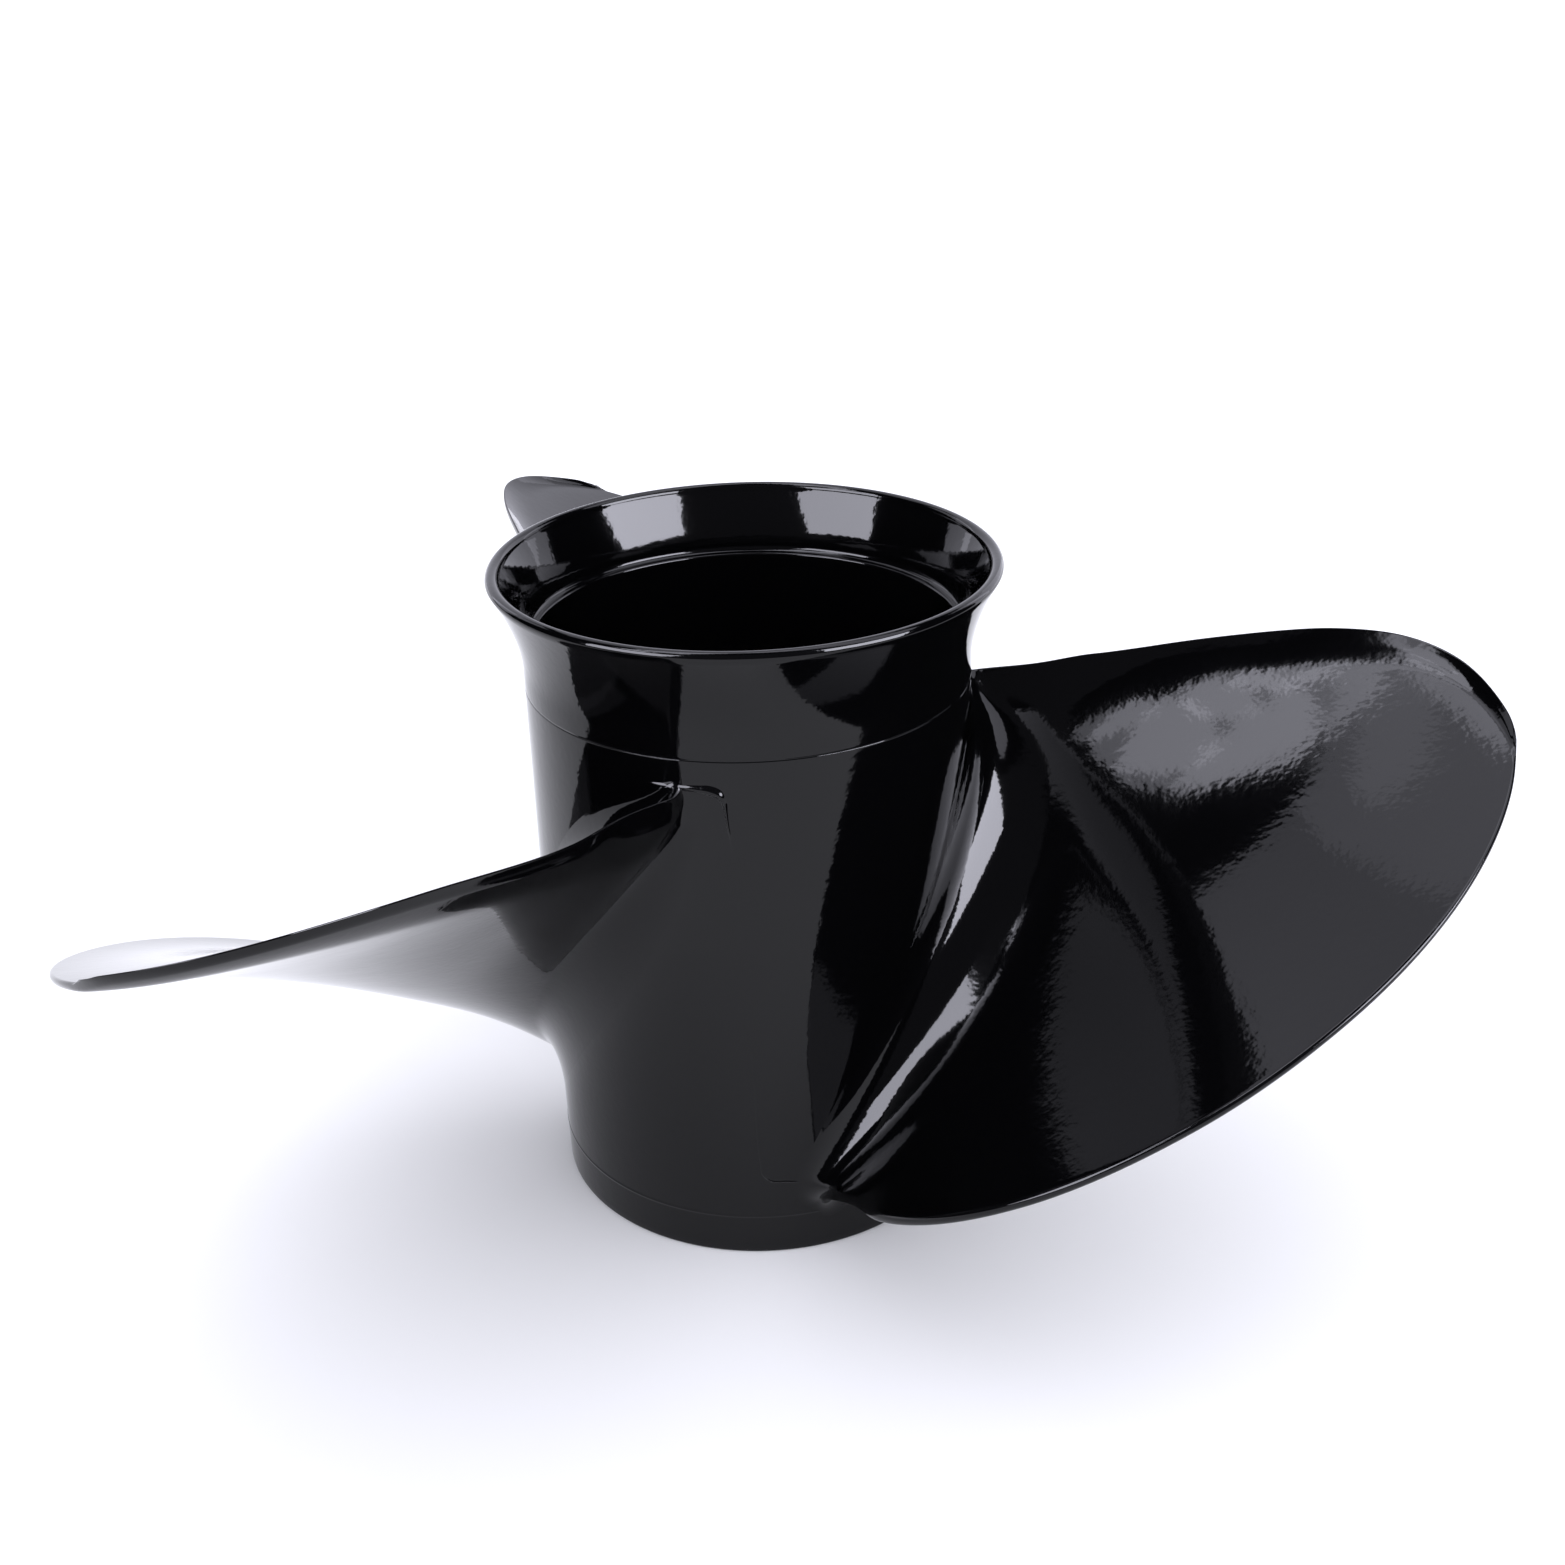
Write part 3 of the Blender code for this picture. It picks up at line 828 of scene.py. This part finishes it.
        angle = angle + (push * np.cos(slant) - lift * np.sin(slant)) / radius
        return angle, height + push * np.sin(slant) + lift * np.cos(slant)

    def fillet_sizes(self, place: np.ndarray, side: np.ndarray) -> tuple[np.ndarray, np.ndarray]:
        """Size the root fillet.

        Args:
            place: position along the section, from -1 to 1.
            side: 1 on the pressure side and -1 on the suction side.

        Returns:
            How far the fillet reaches out along the blade, and how far it rises off it.
        """
        knots = np.array(self.fillet_knots)
        share = 0.5 + 0.5 * place
        sizes = []
        for pressure, suction in (
            (self.pressure_reach_mm, self.suction_reach_mm),
            (self.pressure_rise_mm, self.suction_rise_mm),
        ):
            on_pressure = smooth_curve(knots, np.array(pressure) * MM, share)
            on_suction = smooth_curve(knots, np.array(suction) * MM, share)
            sizes.append(np.where(side > 0.0, on_pressure, on_suction))
        return sizes[0], sizes[1]

    def skin(self) -> tuple[np.ndarray, list[tuple]]:
        """Draw the blade from the fillet's foot to the tip.

        Returns:
            Points and faces.
        """
        half = self.nose_steps + self.chord_steps // 2
        forward = np.linspace(-1.0, 1.0, 2 * half + 1)
        place = np.concatenate([forward, forward[::-1][1:-1]])
        side = np.concatenate([np.ones(len(forward)), -np.ones(len(forward) - 2)])
        reach, rise = self.fillet_sizes(place, side)
        rings = []
        shares = np.linspace(0.0, 1.0, self.fillet_steps + 1) ** self.fillet_bunching
        for turn in 0.5 * math.pi * shares:
            distance = reach * (1.0 - math.cos(turn)) - (self.root_sink if turn == 0.0 else 0.0)
            growth = rise * (1.0 - math.sin(turn))
            radius = self.root_radius + distance
            for _ in range(self.fillet_rounds):
                angle, height = self.section(radius, place, side, growth)
                radius = self.barrel.radius(height) + distance
            rings.append((angle, height, radius))
        start = np.arcsin(self.along(rings[-1][2]))
        for step in range(1, self.span_steps + 1):
            climb = start + (0.5 * math.pi - start) * step / self.span_steps
            radius = self.root_radius + (self.tip_radius - self.root_radius) * np.sin(climb)
            angle, height = self.section(radius, place, side, np.zeros(len(place)))
            rings.append((angle, height, radius))
        grid = np.array([
            np.stack([radius * np.cos(angle), radius * np.sin(angle), height], axis=-1)
            for angle, height, radius in rings
        ])
        points = grid[:-1].reshape(-1, 3)
        faces = grid_faces(len(rings) - 1, len(place), False, True)
        tip = len(points)
        points = np.vstack([points, grid[-1].mean(axis=0)])
        last = (len(rings) - 2) * len(place)
        for column in range(len(place)):
            faces.append((last + column, last + (column + 1) % len(place), tip))
        return points, faces

    def build(self, count: int, finish: bpy.types.Material) -> None:
        """Add every blade, each turned about the shaft axis.

        Args:
            count: number of blades.
            finish: the casting's material.
        """
        points, faces = self.skin()
        for number in range(count):
            name = f"blade_{number + 1}"
            turned_points = about_shaft(points, math.tau * number / count)
            add_piece(f"{name}_skin", turned_points, faces, finish, [name])


@dataclass(frozen=True)
class Hub:
    """The inner hub and the ribs that carry it."""

    barrel: Barrel
    bottom: float = 8.0 * MM
    top: float = 88.0 * MM
    forward_radius: float = 31.0 * MM
    aft_radius: float = 29.5 * MM
    bore: float = 23.0 * MM
    edge_round: float = 1.2 * MM
    around: int = 180
    rib_thickness: float = 8.0 * MM
    rib_bottom: float = 14.0 * MM
    rib_top: float = 84.0 * MM
    rib_fillet: float = 4.0 * MM
    rib_overlap: float = 0.6 * MM
    rib_rows: int = 25

    def profile(self) -> list[tuple[float, float]]:
        """Draw the hub's closed outline."""
        outer = (self.forward_radius, self.aft_radius)
        return ring_profile(self.bore, outer, self.bottom, self.top, self.edge_round)

    def radius(self, height: float) -> float:
        """Outer radius of the hub at a height."""
        share = (height - self.bottom) / (self.top - self.bottom)
        return self.forward_radius + (self.aft_radius - self.forward_radius) * share

    def rib(self) -> tuple[np.ndarray, list[tuple]]:
        """Draw one web along +X, flaring into the hub and the barrel.

        Returns:
            Points and faces.
        """
        half = self.rib_thickness / 2.0
        side = arc((0.0, self.rib_bottom + half), half, -90.0, 0.0, EDGE_STEPS)
        side += arc((0.0, self.rib_top - half), half, 0.0, 90.0, EDGE_STEPS)
        outline = side + [(-width, height) for width, height in side[::-1][1:-1]]
        points = []
        for share in np.linspace(0.0, 1.0, self.rib_rows):
            for width, height in outline:
                inner = self.radius(height) - self.rib_overlap
                outer = self.barrel.bore_radius(height) + self.rib_overlap
                reach = inner + (outer - inner) * share
                flare = max(1.0 - min(reach - inner, outer - reach) / self.rib_fillet, 0.0)
                grown = self.rib_fillet * (1.0 - math.sqrt(max(1.0 - flare * flare, 0.0)))
                points.append((reach, width + math.copysign(grown, width), height))
        return np.array(points), grid_faces(self.rib_rows, len(outline), False, True)

    def build(self, count: int, angle: float, finish: bpy.types.Material) -> None:
        """Add the hub and its ribs.

        Args:
            count: number of ribs.
            angle: where the first one stands, in radians.
            finish: the casting's material.
        """
        points, faces = turned(self.profile(), self.around)
        add_piece("inner_hub_skin", points, faces, finish, ["inner_hub"])
        points, faces = self.rib()
        for number in range(count):
            name = f"rib_{number + 1}"
            turned_points = about_shaft(points, angle + math.tau * number / count)
            add_piece(f"{name}_skin", turned_points, faces, finish, [name])


@dataclass(frozen=True)
class DriveSleeve:
    """The splined sleeve and the rubber that grips it."""

    bottom: float = 5.0 * MM
    top: float = 94.0 * MM
    radius: float = 16.5 * MM
    major: float = 12.9 * MM
    minor: float = 11.5 * MM
    teeth: int = 15
    steps_per_tooth: int = 16
    flank_steepness: float = 2.6
    chamfer: float = 0.8 * MM
    mouth_relief: float = 0.3 * MM
    mouth_depth: float = 1.12 * MM
    sharp_angle: float = math.radians(35.0)
    bush_bottom: float = 12.0 * MM
    bush_top: float = 84.0 * MM
    bush_outer: float = 22.8 * MM
    bush_inner: float = 16.7 * MM
    bush_round: float = 2.0 * MM
    bush_around: int = 120

    def sleeve(self) -> tuple[np.ndarray, list[tuple]]:
        """Draw the sleeve, with chamfered ends and a smooth-flanked spline.

        Returns:
            Points and faces.
        """
        count = self.teeth * self.steps_per_tooth
        turns = np.linspace(0.0, math.tau, count, endpoint=False)
        wave = np.cos(turns * self.teeth)
        steepness = self.flank_steepness
        share = 0.5 + 0.5 * np.tanh(steepness * wave) / math.tanh(steepness)
        spline = self.minor + (self.major - self.minor) * share
        plain = np.full(count, self.radius)
        flared = np.full(count, self.major + self.mouth_relief)
        loops = [
            (plain - self.chamfer, self.bottom),
            (plain, self.bottom + self.chamfer),
            (plain, self.top - self.chamfer),
            (plain - self.chamfer, self.top),
            (flared, self.top),
            (spline, self.top - self.mouth_depth),
            (spline, self.bottom + self.mouth_depth),
            (flared, self.bottom),
        ]
        points = np.empty((len(loops), count, 3))
        for row, (radius, height) in enumerate(loops):
            points[row, :, 0] = radius * np.cos(turns)
            points[row, :, 1] = radius * np.sin(turns)
            points[row, :, 2] = height
        return points.reshape(-1, 3), grid_faces(len(loops), count, True, True)

    def bush(self) -> tuple[np.ndarray, list[tuple]]:
        """Draw the rubber with rounded ends.

        Returns:
            Points and faces.
        """
        outer = (self.bush_outer, self.bush_outer)
        ends = (self.bush_bottom, self.bush_top)
        return turned(ring_profile(self.bush_inner, outer, *ends, self.bush_round), self.bush_around)

    def build(self, brass: bpy.types.Material, rubber: bpy.types.Material) -> None:
        """Add the sleeve and the bush.

        Args:
            brass: the sleeve's material.
            rubber: the bush's material.
        """
        points, faces = self.sleeve()
        piece = add_piece("drive_sleeve", points, faces, brass, ["splined_sleeve"])
        piece.data.set_sharp_from_angle(angle=self.sharp_angle)
        points, faces = self.bush()
        add_piece("cushion_rubber", points, faces, rubber, ["rubber_bush"])


# The studio

# The colour of every lamp, a little cool, as the photo's reflections are.
LAMP_COLOUR = (0.985, 0.985, 1.12)
# The even light on the floor, by its strength and its colour.
DAYLIGHT = 1.60
DAYLIGHT_COLOUR = (0.975, 0.98, 1.07)
# The point that the lights are placed about, in metres.
LIT_POINT = (0.0, 0.0, 0.1)
# How far the floor runs from the shaft axis each way, in metres.
FLOOR_REACH = 30.0


class PanelShape(Enum):
    """Outline of a studio light."""

    RECTANGLE = "RECTANGLE"
    ELLIPSE = "ELLIPSE"


@dataclass(frozen=True)
class Panel:
    """A studio light, placed by the direction in which the propeller sees it.

    Azimuth 0 is the camera's side and elevation 90 is straight up. Width and height are in
    metres for each metre of distance. The turn is about the light's own middle, in degrees.
    A light that faces down hangs level, as a ceiling panel does, and the others face the
    propeller.
    """

    name: str
    azimuth: float
    elevation: float
    width: float
    height: float
    radiance: float
    turn: float = 0.0
    shape: PanelShape = PanelShape.RECTANGLE
    faces_down: bool = False
    distance: float = 3.0

    def away(self) -> Vector:
        """Find where the light is.

        Returns:
            The direction from the propeller to the light.
        """
        azimuth = math.radians(self.azimuth)
        elevation = math.radians(self.elevation)
        level = math.cos(elevation)
        return Vector((math.sin(azimuth) * level, -math.cos(azimuth) * level, math.sin(elevation)))

    def axes(self, away: Vector) -> Matrix:
        """Find the light's own axes.

        Args:
            away: direction from the propeller to the light.

        Returns:
            A rotation whose columns run across, up and back from the light's face.
        """
        back = Vector((0.0, 0.0, 1.0)) if self.faces_down else away
        level = Vector((0.0, 1.0, 0.0)) if self.faces_down else Vector((0.0, 0.0, 1.0))
        up = (level - back * level.dot(back)).normalized()
        across = up.cross(back)
        basis = Matrix((across, up, back)).transposed()
        return basis @ Matrix.Rotation(math.radians(self.turn), 3, "Z")

    def build(self, target: Vector) -> None:
        """Add the light, which shows only as a reflection.

        Args:
            target: the point that the light is placed about.
        """
        scale = self.distance
        if self.faces_down:
            scale = self.distance * math.sin(math.radians(self.elevation))
        data = bpy.data.lights.new(self.name, "AREA")
        data.shape = self.shape.value
        data.size = self.width * scale
        data.size_y = self.height * scale
        area = data.size * data.size_y
        if self.shape is PanelShape.ELLIPSE:
            area *= math.pi / 4.0
        data.energy = self.radiance * math.pi * area
        data.color = LAMP_COLOUR
        light = bpy.data.objects.new(self.name, data)
        away = self.away()
        place = Matrix.Translation(target + away * self.distance)
        light.matrix_world = place @ self.axes(away).to_4x4()
        light.visible_camera = False
        light.visible_diffuse = False
        bpy.context.scene.collection.objects.link(light)


@dataclass(frozen=True)
class PhotoCamera:
    """The camera fitted to the photograph.

    It looks down by the elevation and is then turned about its own axes, in degrees. The
    focal length and the sensor are in millimetres.
    """

    location: tuple[float, float, float] = (0.0, -423.93 * MM, 308.38 * MM)
    elevation: float = 28.312
    yaw: float = -0.907
    pitch: float = 2.4
    roll: float = 2.054
    focal_length: float = 44.17
    sensor: float = 36.0
    nearest: float = 0.01

    def build(self) -> None:
        """Add the camera and make it the scene's."""
        elevation = math.radians(self.elevation)
        forward = Vector((0.0, math.cos(elevation), -math.sin(elevation)))
        right = Vector((1.0, 0.0, 0.0))
        up = right.cross(forward)
        yaw = Matrix.Rotation(math.radians(self.yaw), 3, up)
        forward = yaw @ forward
        right = yaw @ right
        pitch = Matrix.Rotation(math.radians(self.pitch), 3, right)
        forward = pitch @ forward
        up = pitch @ up
        roll = Matrix.Rotation(math.radians(self.roll), 3, forward)
        right = roll @ right
        up = roll @ up
        data = bpy.data.cameras.new("photo_camera")
        data.sensor_fit = "HORIZONTAL"
        data.sensor_width = self.sensor
        data.lens = self.focal_length
        data.clip_start = self.nearest
        camera = bpy.data.objects.new("photo_camera", data)
        turn = Matrix((right, up, -forward)).transposed()
        camera.matrix_world = Matrix.Translation(self.location) @ turn.to_4x4()
        bpy.context.scene.collection.objects.link(camera)
        bpy.context.scene.camera = camera


# What the paint mirrors. The strips overlap, and their sum is the long soft highlight on the
# right blade.
PANELS = (
    Panel("right_softbox", 54.0, 28.5, 0.640, 0.600, 19.33, -16.0),
    Panel("left_softbox", -54.0, 29.5, 0.635, 0.590, 13.54, 5.0),
    Panel("left_top_softbox", -70.0, 57.0, 0.180, 0.140, 13.42, 0.0),
    Panel("strip_main", -79.8, 70.9, 0.220, 0.371, 3.51, -5.0, PanelShape.ELLIPSE, True),
    Panel("strip_wide", -166.0, 70.4, 0.099, 0.273, 0.81, 70.9, PanelShape.ELLIPSE, True),
    Panel("strip_heart", -103.8, 72.7, 0.464, 0.276, 3.34, 48.4, PanelShape.ELLIPSE, True),
    Panel("strip_near", -57.4, 70.3, 0.275, 0.088, 2.80, 70.7, PanelShape.ELLIPSE, True),
    Panel("strip_edge", -143.9, 78.5, 0.198, 0.053, 5.59, 57.1, PanelShape.ELLIPSE, True),
    Panel("strip_far", -131.0, 73.0, 0.495, 0.122, 3.53, 21.5, PanelShape.ELLIPSE, True),
    Panel("strip_fill", -107.9, 77.1, 0.162, 0.093, 3.83, -103.9, PanelShape.ELLIPSE, True),
    Panel("rear_panel", -166.8, 55.7, 0.900, 0.736, 1.42, -19.0, PanelShape.RECTANGLE, True),
    Panel("rear_panel_glow", -170.1, 67.9, 0.500, 0.300, 0.60, 1.7, PanelShape.ELLIPSE, True),
    Panel("rear_glow", 104.6, 62.7, 0.624, 1.100, 2.48, 62.2, PanelShape.ELLIPSE, True),
    Panel("back_wall", 175.0, 20.0, 2.400, 0.900, 1.30, 0.0),
    Panel("back_corner", 140.5, 12.0, 0.460, 0.650, 0.75, 0.0),
    Panel("left_wall", -130.0, 24.0, 0.300, 0.660, 1.48, 0.0),
    Panel("right_wall", 121.0, 16.4, 0.240, 0.800, 2.05, -6.9),
    Panel("room_glow", 0.0, 40.0, 2.400, 1.200, 0.12, 0.0),
)


def build_floor() -> None:
    """Add the plain floor."""
    reach = FLOOR_REACH
    corners = [(-reach, -reach, 0.0), (reach, -reach, 0.0), (reach, reach, 0.0), (-reach, reach, 0.0)]
    mesh = bpy.data.meshes.new("floor")
    mesh.from_pydata(corners, [], [(0, 1, 2, 3)])
    mesh.materials.append(StudioPaper().build())
    floor = bpy.data.objects.new("floor", mesh)
    bpy.context.scene.collection.objects.link(floor)


def build_daylight() -> None:
    """Add the even light on the floor, which the gloss doesn't mirror."""
    world = bpy.data.worlds.new("soft_daylight")
    world.use_nodes = True
    background = world.node_tree.nodes["Background"].inputs
    background["Color"].default_value = (*DAYLIGHT_COLOUR, 1.0)
    background["Strength"].default_value = DAYLIGHT
    world.cycles_visibility.glossy = False
    bpy.context.scene.world = world


def build_studio() -> None:
    """Add the floor, the lights and the camera."""
    build_floor()
    build_daylight()
    target = Vector(LIT_POINT)
    for panel in PANELS:
        panel.build(target)
    PhotoCamera().build()
    bpy.context.scene.view_settings.view_transform = "Standard"


def main() -> None:
    """Dress the propeller and set its studio."""
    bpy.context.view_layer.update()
    enamel = GlossEnamel().build()
    barrel = Barrel()
    blade = Blade(barrel)
    barrel.build(PartingSeam(), BLADES, enamel)
    blade.build(BLADES, enamel)
    Hub(barrel).build(BLADES, blade.reference_angle, enamel)
    DriveSleeve().build(MachinedBrass().build(), MouldedRubber().build())
    build_studio()


if __name__ == "__main__":
    main()
